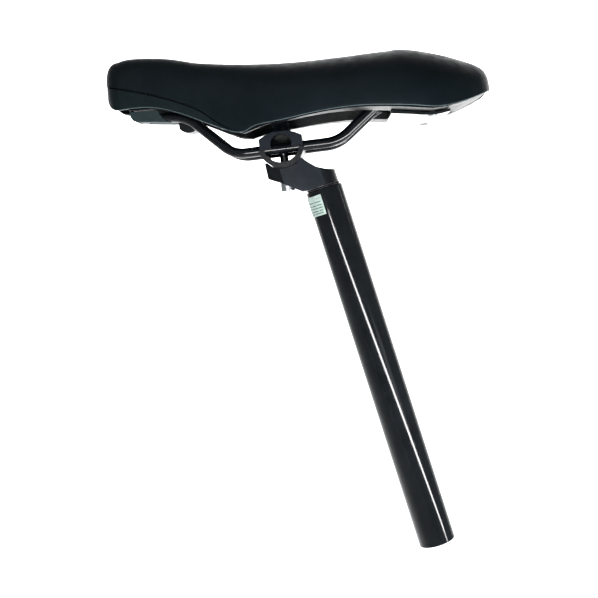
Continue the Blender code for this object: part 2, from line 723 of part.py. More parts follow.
def rail_spacer(datum, clearance):
    """Round-bottomed block between the rails where they come together."""
    x, z = SPACER_CENTRE
    roof = trough_height(x + SPACER_RADIUS) - GAP
    left = max(x - SPACER_RADIUS, -0.0717)
    outline = arc((x, z), SPACER_RADIUS, -10, -141, 12)
    outline += [(left, z), (left, roof), (x + SPACER_RADIUS, roof)]
    solid = prism(outline, -SPACER_HALF_WIDTH, SPACER_HALF_WIDTH)
    spacer = finish_mesh('rail_spacer', solid, datum, shell_plastic())
    for tool in clearance:
        combine(spacer, tool)


def plate_top(x):
    return flange_height(x) - 2 * GAP


def screw_space(place, underside, length):
    """Clearance for a screw: a hole, with a recess for the head below a face at the height underside."""
    head_radius = SCREW_HEAD + GAP
    hole_radius = SCREW_SHANK + GAP
    profile = [(0, underside - 0.010), (head_radius, underside - 0.010), (head_radius, underside),
               (hole_radius, underside), (hole_radius, underside + length), (0, underside + length)]
    return turned(profile, 18, place)


def screw(name, datum, place, underside, length):
    """Pan-head screw driven upwards: its head lies under a face at the height underside."""
    low = underside - 0.0018
    profile = [(0, low), (SCREW_HEAD - 0.0008, low), (SCREW_HEAD, low + 0.0010),
               (SCREW_HEAD, underside - GAP),
               (SCREW_SHANK, underside - GAP), (SCREW_SHANK, underside + length), (0, underside + length)]
    item = finish_mesh(name, turned(profile, 18, place), datum, bright_steel())
    drive = turned([(0, low - 0.001), (0.0014, low - 0.001), (0.0014, low + 0.001), (0, low + 0.001)],
                   6, place)
    combine(item, cutter('cutter_drive_' + name, drive, datum))


def tail_plate(datum):
    """Guard plate that closes the trough under the tail, held by two screws into the flange."""
    stations = [PLATE_X[0] + (PLATE_X[1] - PLATE_X[0]) * step / 6 for step in range(7)]
    outline = [(x, plate_top(x) - PLATE_THICKNESS) for x in stations]
    outline += [(x, plate_top(x)) for x in reversed(stations)]
    solid = prism(outline, -PLATE_HALF_WIDTH, PLATE_HALF_WIDTH)
    plate = finish_mesh('tail_plate', solid, datum, shell_plastic())
    seat = plate_top(TAIL_SCREW_X) - 0.0010
    length = flange_height(TAIL_SCREW_X) + TAIL_SCREW_REACH - seat
    for name, side in (('left', 1), ('right', -1)):
        place = (TAIL_SCREW_X, side * TAIL_SCREW_Y)
        combine(plate, cutter('cutter_plate_hole_' + name, screw_space(place, seat, 0.004), datum))
        screw('tail_screw_' + name, datum, place, seat, length)


def build():
    clear_scene()
    axis = empty('post_axis', (0.0, 0.0, 0.0), -RAKE)
    tilt = empty('tilt_axis', TILT_AXIS, RAKE - SADDLE_PITCH, axis)
    datum = empty('rail_datum', (0.0, 0.0, -RAIL_DROP), 0.0, tilt)

    seat_tube(axis)
    label(axis)
    dust_wiper(axis)
    upper_bush(axis)
    guide_keys(axis)
    preload_plug(axis)
    coil_spring(axis)

    head(axis, tilt)
    plunger(axis)
    lower_bush(axis)
    spring_cap(axis)

    grooves = groove_cutters('cutter_groove', tilt, -RAIL_DROP)
    lower_cradle(tilt, grooves)
    upper_clamp(tilt, grooves)
    rocker_washer(tilt)
    clamp_bolt(tilt)
    clamp_nut(tilt)

    saddle_shell(datum)
    foam_pad(datum)
    covers(datum)
    rails(datum)
    clearance = rail_clearance(datum)
    rear_rail_sockets(datum, clearance)
    nose_housing(datum, clearance)
    rail_spacer(datum, clearance)
    screw('nose_screw', datum, (NOSE_SCREW_X, 0.0), NOSE_SCREW_SEAT, 0.0060)
    tail_plate(datum)


build()
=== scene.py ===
"""Looks for the telescopic seatpost with its saddle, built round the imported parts.

Units are metres, in the frame of the solids: +X to the tail of the saddle, +Z up, Y = 0 the plane of
symmetry. The outer pieces are rebuilt here at a finer resolution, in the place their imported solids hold.
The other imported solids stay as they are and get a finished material.
"""
import math

import bmesh
import bpy
from mathutils import Matrix, Vector


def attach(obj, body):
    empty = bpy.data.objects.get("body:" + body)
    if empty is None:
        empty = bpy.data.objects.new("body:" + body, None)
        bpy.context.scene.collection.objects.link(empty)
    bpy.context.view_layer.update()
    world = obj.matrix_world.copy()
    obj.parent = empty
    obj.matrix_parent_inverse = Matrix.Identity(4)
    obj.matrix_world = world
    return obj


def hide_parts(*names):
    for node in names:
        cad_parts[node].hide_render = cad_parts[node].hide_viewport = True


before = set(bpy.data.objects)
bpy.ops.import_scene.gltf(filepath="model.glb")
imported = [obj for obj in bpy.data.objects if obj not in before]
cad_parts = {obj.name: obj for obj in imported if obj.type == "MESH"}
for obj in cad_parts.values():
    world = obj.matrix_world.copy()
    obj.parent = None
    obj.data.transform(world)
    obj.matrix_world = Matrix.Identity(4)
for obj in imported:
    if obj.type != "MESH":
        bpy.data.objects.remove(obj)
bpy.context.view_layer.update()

# --- driving dimensions, the same as the solids' ---------------------------------------------------
GAP = 0.0003
RAKE = math.radians(18.0)
TUBE_RADIUS = 0.0136
TUBE_BORE = 0.0116
TUBE_TOP = 0.2740
NECK_RADIUS = 0.0119
NECK_TOP = 0.2845
HEAD_BOTTOM = TUBE_TOP + 0.0016
CHEEK = 0.0130
PLUNGER_RADIUS = 0.0100
PLUNGER_TOP = 0.2850
LABEL_HEIGHTS = (0.2557, 0.2703)
LABEL_ARC = (-25.0, 75.0)

TILT_AXIS = (-0.0189, 0.0, 0.3121)
SADDLE_PITCH = math.radians(7.0)
TILT_RANGE = math.radians(8.0)
RAIL_DROP = 0.0030
RAIL_RADIUS = 0.0035
RAIL_GROOVE = 0.0038
RAIL_SPACING = 0.0220
CRADLE_RADIUS = 0.0165
CRADLE_WALL = 0.0035
SEAT_RADIUS = CRADLE_RADIUS + GAP
CLAMP_HALF_WIDTH = 0.0275
CLAMP_HALF_LENGTH = 0.0153
ARCH_RADIUS = 0.0074
ARCH_INNER_Y = 0.0100
BOLT_RADIUS = 0.0030
BOLT_HOLE = 0.0034
BOLT_HEAD_RADIUS = 0.0050
BOLT_HEAD_HEIGHTS = (-0.0330, -0.0255)
BOLT_TOP = 0.0150
NUT_RADIUS = 0.0064
NUT_FLANGE_RADIUS = 0.0074
NUT_HEIGHTS = (0.0088, 0.0186)
NUT_DOME = 0.0044
WASHER_SEAT = 0.0215
WASHER_HALF_LENGTH = 0.0064
WASHER_HALF_WIDTH = 0.0056

NOSE_X = -0.1210
TAIL_X = 0.1505
HALF_WIDTH = [(-0.1215, 0.009), (-0.117, 0.017), (-0.106, 0.0225), (-0.085, 0.0255), (-0.06, 0.029),
              (-0.03, 0.0365), (0.0, 0.0465), (0.035, 0.0585), (0.07, 0.0675), (0.095, 0.0700),
              (0.118, 0.0635), (0.14, 0.0460), (0.148, 0.0320), (0.1505, 0.0230)]
TOP_HEIGHT = [(-0.1215, 0.064), (-0.117, 0.0724), (-0.108, 0.0772), (-0.095, 0.0774), (-0.0735, 0.0744),
              (-0.0521, 0.0687), (-0.0086, 0.062), (0.0196, 0.0595), (0.047, 0.0586), (0.08, 0.0583),
              (0.0912, 0.0581), (0.1142, 0.052), (0.1351, 0.044), (0.143, 0.0399), (0.1485, 0.0347),
              (0.1505, 0.0283)]
EDGE_HEIGHT = [(-0.1215, 0.0541), (-0.119, 0.045), (-0.113, 0.0414), (-0.1075, 0.041), (-0.1018, 0.0410),
               (-0.0859, 0.0394), (-0.0681, 0.0333), (-0.055, 0.0266), (-0.0386, 0.0182), (-0.0300, 0.0145),
               (-0.0235, 0.0139), (-0.0182, 0.0160), (-0.0130, 0.0173), (0.0046, 0.0180), (0.0234, 0.0194),
               (0.0435, 0.0199), (0.0634, 0.0187), (0.0892, 0.0150), (0.109, 0.012), (0.1276, 0.0147),
               (0.1484, 0.0213), (0.1505, 0.0226)]
SEAM_HEIGHT = [(-0.13, 0.0622), (-0.1192, 0.0584), (-0.1064, 0.0544), (-0.0881, 0.0484), (-0.0672, 0.0398),
               (-0.0535, 0.0323), (-0.0436, 0.0239), (-0.0342, 0.017), (-0.0271, 0.0141)]
SEAM_END = -0.0271
RAIL_CORNERS = [(-0.0920, 0.0065, 0.0355), (-0.0640, 0.0150, 0.0298), (-0.0340, 0.0220, -0.0003),
                (0.0405, 0.0220, 0.0), (0.0725, 0.0258, 0.0240), (0.0950, 0.0272, 0.0240)]

# Local frames: along the tube, round the hinge of the clamp, and of the saddle at its rails.
AXIS = Matrix.Rotation(-RAKE, 4, 'Y')
TILT = AXIS @ Matrix.Translation(TILT_AXIS) @ Matrix.Rotation(RAKE - SADDLE_PITCH, 4, 'Y')
DATUM = TILT @ Matrix.Translation((0.0, 0.0, -RAIL_DROP))
DOWN = Vector((0, 0, -1))
INWARD = Vector((0, -1, 0))

POST = "post"
HEAD = "head_group"
CLAMP = "clamp_group"
SADDLE = "saddle_group"

BEVEL_SEGMENTS = 3
BEVEL_ANGLE = math.radians(28)
SHARP_ANGLE = 38.0
CUT_SHARP_ANGLE = 32
WELD_DISTANCE = 0.000002


# --- geometry helpers ------------------------------------------------------------------------------
def add_object(name, data):
    item = bpy.data.objects.new(name, data)
    bpy.context.scene.collection.objects.link(item)
    return item


def placed_mesh(name, bm, place):
    """Mesh with its faces turned outward, moved from local to world coordinates."""
    bmesh.ops.recalc_face_normals(bm, faces=bm.faces)
    if bm.calc_volume(signed=True) < 0:
        bmesh.ops.reverse_faces(bm, faces=bm.faces)
    bm.transform(place)
    mesh = bpy.data.meshes.new(name)
    bm.to_mesh(mesh)
    bm.free()
    return mesh


def shade(mesh, sharp):
    """Smooth shading, with a hard edge wherever faces meet at more than a number of degrees."""
    mesh.shade_smooth()
    mesh.set_sharp_from_angle(angle=math.radians(sharp))


def add_bevel(item, width):
    modifier = item.modifiers.new('edge', 'BEVEL')
    modifier.width = width
    modifier.segments = BEVEL_SEGMENTS
    modifier.limit_method = 'ANGLE'
    modifier.angle_limit = BEVEL_ANGLE
    modifier.harden_normals = True


def finish(name, bm, place, surface, body, replaced=(), sharp=SHARP_ANGLE, bevel=0.0):
    """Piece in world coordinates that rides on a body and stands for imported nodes."""
    mesh = placed_mesh(name, bm, place)
    mesh.materials.append(surface)
    shade(mesh, sharp)
    item = add_object(name, mesh)
    if bevel:
        add_bevel(item, bevel)
    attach(item, body)
    if replaced:
        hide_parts(*replaced)
    return item


def apply_modifiers(item):
    graph = bpy.context.evaluated_depsgraph_get()
    mesh = bpy.data.meshes.new_from_object(item.evaluated_get(graph), depsgraph=graph)
    item.modifiers.clear()
    item.data = mesh


def subtract(item, tools, place):
    """Cut meshes given in the same local place out of the item, before its bevel."""
    bevels = [modifier.width for modifier in item.modifiers]
    item.modifiers.clear()
    cutters = []
    for bm in tools:
        cutter = add_object('tool', placed_mesh('tool', bm, place))
        cutters.append(cutter)
        modifier = item.modifiers.new('cut', 'BOOLEAN')
        modifier.operation = 'DIFFERENCE'
        modifier.solver = 'EXACT'
        modifier.object = cutter
    bpy.context.view_layer.update()
    apply_modifiers(item)
    for cutter in cutters:
        bpy.data.objects.remove(cutter)
    shade(item.data, CUT_SHARP_ANGLE)
    for width in bevels:
        add_bevel(item, width)


def bridge(bm, first, second):
    """Faces between two closed loops of the same length, or between a loop and a single point."""
    count = max(len(first), len(second))
    for index in range(count):
        following = (index + 1) % count
        corners = [first[index % len(first)], first[following % len(first)],
                   second[following % len(second)], second[index % len(second)]]
        corners = list(dict.fromkeys(corners))
        if len(corners) > 2:
            bm.faces.new(corners)


def turned(profile, segments):
    """Closed profile of radius and height, turned round the local Z axis."""
    bm = bmesh.new()
    rings = []
    for radius, height in profile:
        steps = segments if radius > 0 else 1
        angles = [2 * math.pi * step / steps for step in range(steps)]
        rings.append([bm.verts.new((radius * math.cos(a), radius * math.sin(a), height)) for a in angles])
    for index, ring in enumerate(rings):
        bridge(bm, ring, rings[(index + 1) % len(rings)])
    return bm


def loft(rings):
    """Solid through a row of rings, closed by a face at each end."""
    bm = bmesh.new()
    loops = [[bm.verts.new(point) for point in ring] for ring in rings]
    for first, second in zip(loops, loops[1:]):
        bridge(bm, first, second)
    bm.faces.new(loops[0])
    bm.faces.new(reversed(loops[-1]))
    return bm


def prism(outline, low, high):
    """Outline in X and Z, carried from one Y to another."""
    return loft([[(x, low, z) for x, z in outline], [(x, high, z) for x, z in outline]])


def block(low, high):
    outline = [(low[0], low[2]), (high[0], low[2]), (high[0], high[2]), (low[0], high[2])]
    return prism(outline, low[1], high[1])


def upright_pair(outline, low, high):
    """Outline in X and Y, carried up from one Z to another, once on each side of the saddle."""
    return [loft([[(x, side * y, z) for x, y in outline] for z in (low, high)]) for side in (1, -1)]


def round_tool(radius, low, high, segments=48):
    return turned([(0, low), (radius, low), (radius, high), (0, high)], segments)


def arc(centre, radius, start, end, steps):
    """Points of an arc between two angles in degrees."""
    points = []
    for step in range(steps + 1):
        angle = math.radians(start + (end - start) * step / steps)
        points.append((centre[0] + radius * math.cos(angle), centre[1] + radius * math.sin(angle)))
    return points


def curve_value(points, x):
    """Value at x of a smooth curve through the points, flat beyond both ends."""
    if x <= points[0][0]:
        return points[0][1]
    if x >= points[-1][0]:
        return points[-1][1]
    index = min(max(i for i, point in enumerate(points) if point[0] <= x), len(points) - 2)

    def slope(i):
        before = points[max(i - 1, 0)]
        after = points[min(i + 1, len(points) - 1)]
        return (after[1] - before[1]) / (after[0] - before[0])

    x0, y0 = points[index]
    x1, y1 = points[index + 1]
    width = x1 - x0
    t = (x - x0) / width
    return ((2 * t**3 - 3 * t**2 + 1) * y0 + (t**3 - 2 * t**2 + t) * width * slope(index)
            + (3 * t**2 - 2 * t**3) * y1 + (t**3 - t**2) * width * slope(index + 1))


def rounded_path(corners, reach=0.009, steps=14):
    """Path through the corners, each rounded over a reach to both sides of it."""
    points = [Vector(corners[0])]
    for before, corner, after in zip(corners, corners[1:], corners[2:]):
        corner = Vector(corner)
        entry = corner + (Vector(before) - corner).normalized() * reach
        leave = corner + (Vector(after) - corner).normalized() * reach
        for step in range(steps + 1):
            t = step / steps
            points.append((1 - t)**2 * entry + 2 * t * (1 - t) * corner + t**2 * leave)
    points.append(Vector(corners[-1]))
    return points


def swept(path, radius, sides):
    """Round rod along a path."""
    rings = []
    side = Vector((0.0, 1.0, 0.0))
    angles = [2 * math.pi * step / sides for step in range(sides)]
    for index, point in enumerate(path):
        before = path[max(index - 1, 0)]
        after = path[min(index + 1, len(path) - 1)]
        tangent = (after - before).normalized()
        side = (side - tangent * side.dot(tangent)).normalized()
        upright = tangent.cross(side)
        rings.append([point + radius * (math.cos(a) * side + math.sin(a) * upright) for a in angles])
    return loft(rings)


# --- materials -------------------------------------------------------------------------------------
NOISE_RANGE = (0.3, 0.7)


class Surface:
    """A Principled material with small helpers for procedural detail."""

    def __init__(self, name, roughness, metallic=0.0, specular=0.5):
        self.material = bpy.data.materials.new(name)
        self.material.use_nodes = True
        self.tree = self.material.node_tree
        self.shader = self.tree.nodes['Principled BSDF']
        self.shader.inputs['Roughness'].default_value = roughness
        self.shader.inputs['Metallic'].default_value = metallic
        self.shader.inputs['Specular IOR Level'].default_value = specular
        self.coordinates = self.tree.nodes.new('ShaderNodeTexCoord')
        self.height = None

    def noise(self, scale, detail=3.0, stretch=None):
        node = self.tree.nodes.new('ShaderNodeTexNoise')
        node.inputs['Scale'].default_value = scale
        node.inputs['Detail'].default_value = detail
        source = self.coordinates.outputs['Object']
        if stretch:
            mapping = self.tree.nodes.new('ShaderNodeMapping')
            mapping.inputs['Scale'].default_value = stretch
            self.tree.links.new(source, mapping.inputs['Vector'])
            source = mapping.outputs['Vector']
        self.tree.links.new(source, node.inputs['Vector'])
        return node.outputs['Fac']

    def cells(self, scale):
        node = self.tree.nodes.new('ShaderNodeTexVoronoi')
        node.feature = 'DISTANCE_TO_EDGE'
        node.inputs['Scale'].default_value = scale
        self.tree.links.new(self.coordinates.outputs['Object'], node.inputs['Vector'])
        return node.outputs['Distance']

    def spread(self, source, low, high):
        """The middle range of a noise, stretched from a low to a high value."""
        node = self.tree.nodes.new('ShaderNodeMapRange')
        node.inputs['From Min'].default_value = NOISE_RANGE[0]
        node.inputs['From Max'].default_value = NOISE_RANGE[1]
        node.inputs['To Min'].default_value = low
        node.inputs['To Max'].default_value = high
        self.tree.links.new(source, node.inputs['Value'])
        return node.outputs['Result']

    def colour(self, source, first, second):
        node = self.tree.nodes.new('ShaderNodeMix')
        node.data_type = 'RGBA'
        node.inputs['A'].default_value = (*first, 1.0)
        node.inputs['B'].default_value = (*second, 1.0)
        self.tree.links.new(self.spread(source, 0.0, 1.0), node.inputs['Factor'])
        self.tree.links.new(node.outputs['Result'], self.shader.inputs['Base Color'])

    def rough(self, source, low, high):
        self.tree.links.new(self.spread(source, low, high), self.shader.inputs['Roughness'])

    def bump(self, source, distance, strength):
        """A layer of relief on top of the layers made before it."""
        node = self.tree.nodes.new('ShaderNodeBump')
        node.inputs['Distance'].default_value = distance
        node.inputs['Strength'].default_value = strength
        self.tree.links.new(source, node.inputs['Height'])
        if self.height is not None:
            self.tree.links.new(self.height, node.inputs['Normal'])
        self.height = node.outputs['Normal']
        self.tree.links.new(self.height, self.shader.inputs['Normal'])


def material(name, roughness, tones, grain, rough=None, rough_grain=(400,), relief=None,
             relief_grain=(1600, 4), metallic=0.0, specular=0.5):
    """Two tones mixed by a noise, with a range of roughness and a relief from finer noises.

    A grain is the scale of a noise, its detail and its stretch. A relief is a distance and a strength.
    """
    surface = Surface(name, roughness, metallic, specular)
    surface.colour(surface.noise(*grain), *tones)
    if rough:
        surface.rough(surface.noise(*rough_grain), *rough)
    if relief:
        surface.bump(surface.noise(*relief_grain), *relief)
    return surface.material


def leather(name, tones, rough=(0.40, 0.56)):
    """Cover material: soft waves, a cell pattern and a fine grain over each other."""
    surface = Surface(name, 0.5, specular=0.10)
    surface.colour(surface.noise(38, 4), *tones)
    surface.rough(surface.noise(160, 3), *rough)
    surface.bump(surface.noise(55, 2), 0.0004, 0.10)
    surface.bump(surface.cells(900), 0.00012, 0.5)
    surface.bump(surface.noise(2600, 3), 0.00005, 0.4)
    return surface.material


BLACK = material(
    'gloss_black', 0.12, ((0.0020, 0.0030, 0.0040), (0.0045, 0.0060, 0.0075)), (60,), rough=(0.08, 0.13),
    rough_grain=(220,), relief=(0.00001, 0.35), relief_grain=(900, 2), specular=0.32)
FORGING = material(
    'satin_forging', 0.42, ((0.0030, 0.0060, 0.0100), (0.0055, 0.0095, 0.0150)), (140, 5),
    rough=(0.36, 0.50), relief=(0.00004, 0.6), specular=0.16)
# A darker copy of the forging. The cradle, the rail spacer and the housing panels are made in it; on the
# head and the upper clamp it is painted shade.
DARK_AND_SHADE = material(
    'dark_forging', 0.36, ((0.0016, 0.0026, 0.0036), (0.0034, 0.0048, 0.0062)), (140, 5),
    rough=(0.26, 0.42), relief=(0.00004, 0.6), specular=0.3)
STEEL = material(
    'bright_steel', 0.26, ((0.26, 0.28, 0.30), (0.42, 0.44, 0.46)), (90, 4), rough=(0.28, 0.44),
    rough_grain=(300, 3, (1.0, 1.0, 6.0)), relief=(0.00001, 0.5), relief_grain=(1200, 2, (1.0, 1.0, 5.0)),
    metallic=1.0)
NUT = material(
    'blued_nut', 0.2, ((0.0150, 0.0250, 0.0380), (0.0240, 0.0380, 0.0550)), (140, 5), rough=(0.14, 0.24),
    relief=(0.00004, 0.4), specular=0.6)
NYLON = material(
    'natural_nylon', 0.5, ((0.46, 0.46, 0.42), (0.58, 0.58, 0.54)), (80,), rough=(0.42, 0.6),
    rough_grain=(300,), relief=(0.00003, 0.5), relief_grain=(900,))
RUBBER = material(
    'black_rubber', 0.7, ((0.0060, 0.0065, 0.0070), (0.0120, 0.0125, 0.0130)), (200,), rough=(0.6, 0.8),
    relief=(0.00004, 0.6), relief_grain=(1400,), specular=0.3)
# Near black and barely shiny: painted shade for the cord in the open seam.
SEAM = material(
    'seam_shadow', 0.9, ((0.0003, 0.0004, 0.0005), (0.0008, 0.0010, 0.0012)), (300, 3),
    relief=(0.00003, 0.5), relief_grain=(2200, 2), specular=0.05)
BASE = material(
    'base_plastic', 0.2, ((0.0018, 0.0028, 0.0034), (0.0036, 0.0050, 0.0060)), (70,), rough=(0.30, 0.42),
    rough_grain=(500, 2), relief=(0.00001, 0.3), relief_grain=(900, 2), specular=0.09)
GREY = material(
    'grey_plastic', 0.6, ((0.0200, 0.0340, 0.0370), (0.0290, 0.0460, 0.0500)), (120, 4), rough=(0.55, 0.70),
    relief=(0.00005, 0.6), relief_grain=(1500, 4), specular=0.12)
PLATE = material(
    'plate_plastic', 0.08, ((0.0060, 0.0080, 0.0090), (0.0100, 0.0125, 0.0140)), (70,), rough=(0.05, 0.10),
    rough_grain=(500, 2), relief=(0.00001, 0.2), relief_grain=(900, 2), specular=0.65)
LEATHER = leather('cover_leather', ((0.0036, 0.0072, 0.0098), (0.0060, 0.0108, 0.0142)))
BAND_LEATHER = leather('band_leather', ((0.0058, 0.0110, 0.0130), (0.0090, 0.0155, 0.0180)))
# Much lighter than the cover leather: a painted highlight for the welt along the lower edge.
HIGHLIGHT_WELT = leather('painted_highlight_welt', ((0.0800, 0.1150, 0.1220), (0.1200, 0.1650, 0.1720)), (0.20, 0.30))
PAPER = material(
    'label_paper', 0.5, ((0.34, 0.44, 0.40), (0.43, 0.54, 0.49)), (250, 3), rough=(0.40, 0.60),
    rough_grain=(500,), relief=(0.00002, 0.5), relief_grain=(2200,))
INK = material(
    'label_ink', 0.55, ((0.010, 0.022, 0.024), (0.050, 0.085, 0.085)), (1500, 3), relief=(0.00002, 0.4),
    relief_grain=(2200,))

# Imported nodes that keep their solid, with the material each one gets.
DRESSED = {'dust_wiper': RUBBER, 'upper_bush': NYLON, 'lower_bush': NYLON, 'preload_plug': NYLON,
           'spring_cap': NYLON, 'guide_key_front': STEEL, 'guide_key_rear': STEEL, 'coil_spring': STEEL,
           'plunger': STEEL, 'saddle_shell': BASE, 'rear_rail_socket_left': BASE,
           'rear_rail_socket_right': BASE, 'nose_housing': GREY, 'rail_spacer': DARK_AND_SHADE, 'nose_screw': STEEL,
           'tail_plate': PLATE, 'tail_screw_left': STEEL, 'tail_screw_right': STEEL}


def dress_nodes():
    for node, surface in DRESSED.items():
        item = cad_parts[node]
        item.data.materials.clear()
        item.data.materials.append(surface)


# --- post ------------------------------------------------------------------------------------------
SHEET_THICKNESS = 0.00016
SHEET_BEVEL = 0.00005
BAR_DEPTHS = (0.00014, 0.0002)
BAR_HALF_HEIGHT = 0.00030
BAR_UNIT = 0.9
BAR_MARGIN = 0.02
# Rows of bars: the share of the label's height, then where each bar starts and ends in units of angle.
BAR_ROWS = [(0.84, ((4, 8), (13, 17))), (0.68, ((4, 30), (34, 62))), (0.63, ((66, 74),)),
            (0.52, ((4, 22), (26, 44), (48, 60))), (0.38, ((4, 34), (38, 50), (54, 66))),
            (0.24, ((4, 18), (22, 52), (56, 62))), (0.12, ((4, 40), (44, 58)))]


def seat_tube():
    foot_round = 0.0006
    rim_round = 0.0010
    bevel_width, bevel_height = 0.0004, 0.0005
    profile = [(TUBE_BORE, bevel_height), (TUBE_BORE + bevel_width, 0.0)]
    profile += arc((TUBE_RADIUS - foot_round, foot_round), foot_round, -90, 0, 6)
    profile += arc((TUBE_RADIUS - rim_round, TUBE_TOP - rim_round), rim_round, 0, 90, 10)
    profile.append((TUBE_BORE, TUBE_TOP))
    finish('post_tube', turned(profile, 160), AXIS, BLACK, POST, ('seat_tube',))


def curved_patch(inner, outer, arcs, heights, columns):
    """Thin sheet round the tube's axis, between two angles in degrees from the front."""
    rings = []
    for column in range(columns + 1):
        angle = math.radians(180 + arcs[0] + (arcs[1] - arcs[0]) * column / columns)
        corners = [(inner, heights[0]), (outer, heights[0]), (outer, heights[1]), (inner, heights[1])]
        rings.append([(r * math.cos(angle), r * math.sin(angle), z) for r, z in corners])
    return loft(rings)


def label():
    """Paper label with rows of plain bars in place of print."""
    inner = TUBE_RADIUS + GAP
    low, high = LABEL_HEIGHTS
    sheet = curved_patch(inner, inner + SHEET_THICKNESS, LABEL_ARC, (low, high), 40)
    finish('label_sheet', sheet, AXIS, PAPER, POST, ('label',), bevel=SHEET_BEVEL)
    first = LABEL_ARC[1] - (LABEL_ARC[1] - LABEL_ARC[0]) * BAR_MARGIN
    index = 0
    for share, bars in BAR_ROWS:
        z = low + (high - low) * share
        for start, end in bars:
            index += 1
            arcs = (first - end * BAR_UNIT, first - start * BAR_UNIT)
            heights = (z - BAR_HALF_HEIGHT, z + BAR_HALF_HEIGHT)
            patch = curved_patch(inner + BAR_DEPTHS[0], inner + BAR_DEPTHS[1], arcs, heights, 8)
            finish(f'label_bar_{index:02d}', patch, AXIS, INK, POST)


# --- head ------------------------------------------------------------------------------------------
HEAD_BEVEL = 0.0005
CHEEK_MARGIN = 0.0002
BELOW_HEAD = HEAD_BOTTOM - 0.002
ABOVE_NECK = NECK_TOP + 0.006
OUTSIDE = 0.0300
FRONT_HEIGHTS = (0.2670, 0.3120)
FRONT_CORNER = [(-0.0258, CHEEK), (-0.0360, 0.0075), (-0.0420, 0.0075), (-0.0420, 0.0200),
                (-0.0258, 0.0200)]
SLOT_HEIGHTS = (-0.0300, -0.0100)
POCKET_HALF_WIDTH = 0.0060
POCKET_FLOOR = -0.0400
FLAT_NORMAL = 0.97


def head_outline():
    centre = (TILT_AXIS[0], TILT_AXIS[2])
    outline = [(NECK_RADIUS, HEAD_BOTTOM), (NECK_RADIUS, NECK_TOP)]
    outline += [(0.0060, 0.2862), (-0.0005, 0.2899), (-0.0052, 0.2951)]
    outline += arc(centre, SEAT_RADIUS, -51, -149, 40)
    outline += [(-0.0350, 0.3031), (-0.0360, 0.2921), (-0.0280, 0.2867), (-0.0155, 0.2762)]
    outline.append((-NECK_RADIUS, HEAD_BOTTOM))
    return outline


def head():
    item = finish('head_forging', prism(head_outline(), -CHEEK, CHEEK), AXIS, FORGING, HEAD,
                  ('head',), bevel=HEAD_BEVEL)
    quarter = [math.radians(90 * step / 16) for step in range(17)]
    behind = [(NECK_RADIUS * math.sin(a), (CHEEK + CHEEK_MARGIN) * math.cos(a)) for a in quarter]
    behind += [(OUTSIDE, 0.0), (OUTSIDE, OUTSIDE), (0.0, OUTSIDE)]
    neck = upright_pair(behind, BELOW_HEAD, ABOVE_NECK)
    bore = round_tool(PLUNGER_RADIUS + GAP, BELOW_HEAD, PLUNGER_TOP + GAP, 80)
    corners = upright_pair(FRONT_CORNER, *FRONT_HEIGHTS)
    subtract(item, neck + [bore] + corners, AXIS)

    pocket = arc((0.0, 0.0), WASHER_SEAT, -118, -58, 24) + [(0.0110, POCKET_FLOOR), (-0.0105, POCKET_FLOOR)]
    reach = BOLT_HOLE + WASHER_SEAT * math.tan(TILT_RANGE)
    slot = block((-reach, -BOLT_HOLE, SLOT_HEIGHTS[0]), (reach, BOLT_HOLE, SLOT_HEIGHTS[1]))
    subtract(item, [prism(pocket, -POCKET_HALF_WIDTH, POCKET_HALF_WIDTH), slot], TILT)
    # Painted shade on every face of the head but the flat cheeks.
    paint_head_shade(item)


def paint_head_shade(item):
    """Every face of the head but the flat cheeks gets the darker material, as painted shade on the faces
    that turn away from the light.
    """
    item.data.materials.append(DARK_AND_SHADE)
    for polygon in item.data.polygons:
        if abs(polygon.normal.y) < FLAT_NORMAL:
            polygon.material_index = 1


# --- clamp -----------------------------------------------------------------------------------------
CRADLE_BEVEL = 0.0004
UPPER_CLAMP_BEVEL = 0.0005
WASHER_BEVEL = 0.0003
CLAMP_SHOULDER = 0.0045
CLAMP_CROWN = 0.0085
ARCH_CENTRE = (0, -0.0004)
ARCH_OUTER_Y = 0.030
GROOVE_REACH = 0.030
CRADLE_HOLE_HEIGHTS = (-0.020, -0.008)
UPPER_HOLE_HEIGHTS = (-0.010, 0.020)
WASHER_HOLE_HEIGHTS = (-0.030, -0.018)
# Height and inset that bound the upper clamp's faces given painted shade.
SHADE_BELOW = 0.0075
SHADE_INSET = 0.0004


def groove_tools():
    """Two rods that cut the grooves of the rails."""
    tools = []
    for side in (1, -1):
        path = [Vector((x, side * RAIL_SPACING, -RAIL_DROP)) for x in (-GROOVE_REACH, GROOVE_REACH)]
        tools.append(swept(path, RAIL_GROOVE, 48))
    return tools


def lower_cradle():
    top = -RAIL_DROP - GAP
    inner = CRADLE_RADIUS - CRADLE_WALL
    outer_end = math.degrees(math.asin(top / CRADLE_RADIUS))
    inner_end = math.degrees(math.asin(top / inner))
    outline = arc((0, 0), CRADLE_RADIUS, outer_end, -180 - outer_end, 60)
    outline += arc((0, 0), inner, -180 - inner_end, inner_end, 60)
    item = finish('cradle', prism(outline, -CLAMP_HALF_WIDTH, CLAMP_HALF_WIDTH), TILT, DARK_AND_SHADE, CLAMP,
                  ('lower_cradle',), bevel=CRADLE_BEVEL)
    subtract(item, [round_tool(BOLT_HOLE, *CRADLE_HOLE_HEIGHTS)] + groove_tools(), TILT)


